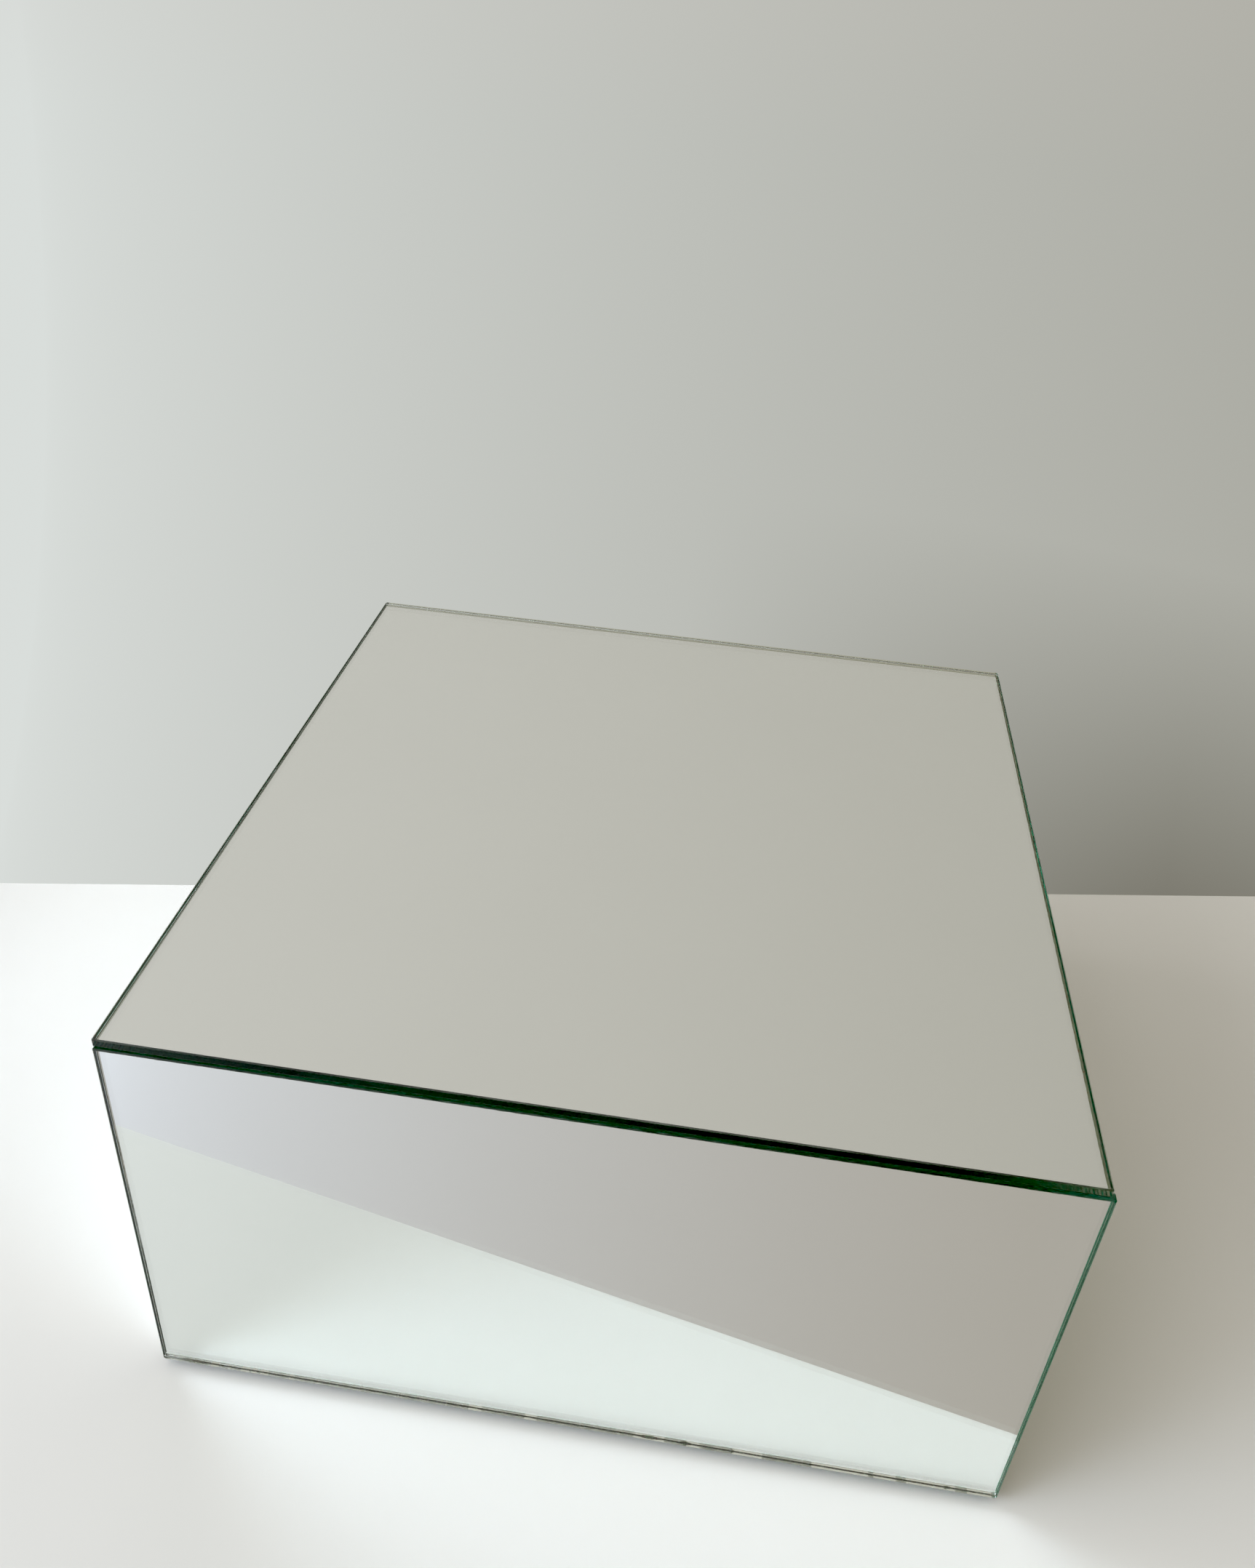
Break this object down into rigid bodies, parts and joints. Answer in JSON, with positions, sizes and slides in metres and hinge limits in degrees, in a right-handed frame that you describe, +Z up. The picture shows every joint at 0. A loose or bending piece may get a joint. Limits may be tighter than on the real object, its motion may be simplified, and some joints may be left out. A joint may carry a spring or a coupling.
{
  "type": "mirrored display plinth",
  "caption": "Low square display plinth: mirror glass panels bonded to a fibreboard carcass, on felt pads.",
  "frame": {"origin": "middle of the footprint on the surface that the plinth stands on, under the felt pads", "axes": "+Z up through the top mirror, -Y out of the front mirror, +X to the right seen from the front"},
  "size_m": [0.4, 0.4, 0.22],
  "materials": {
    "mirror_glass": "float glass, green through its polished edges",
    "silvering": "silver film with grey backing paint",
    "clear_silicone": "translucent neutral-cure silicone",
    "fibreboard": "bare medium-density fibreboard",
    "screw_steel": "zinc and yellow passivated",
    "felt": "dark grey pressed felt"
  },
  "bodies": {
    "root": {"top_glass": "mirror_glass", "front_glass": "mirror_glass", "back_glass": "mirror_glass", "left_glass": "mirror_glass", "right_glass": "mirror_glass", "top_silvering": "silvering", "front_silvering": "silvering", "back_silvering": "silvering", "left_silvering": "silvering", "right_silvering": "silvering", "top_adhesive": "clear_silicone", "front_adhesive": "clear_silicone", "back_adhesive": "clear_silicone", "left_adhesive": "clear_silicone", "right_adhesive": "clear_silicone", "top_board": "fibreboard", "front_board": "fibreboard", "back_board": "fibreboard", "left_board": "fibreboard", "right_board": "fibreboard", "base_board": "fibreboard", "corner_block_front_left": "fibreboard", "corner_block_front_right": "fibreboard", "corner_block_back_left": "fibreboard", "corner_block_back_right": "fibreboard", "corner_seal_front_left": "clear_silicone", "corner_seal_front_right": "clear_silicone", "corner_seal_back_left": "clear_silicone", "corner_seal_back_right": "clear_silicone", "top_seal": "clear_silicone", "felt_pad_front_left": "felt", "felt_pad_front_right": "felt", "felt_pad_back_left": "felt", "felt_pad_back_right": "felt", "carcass_screws": "screw_steel", "base_screws": "screw_steel"}
  },
  "joints": []
}
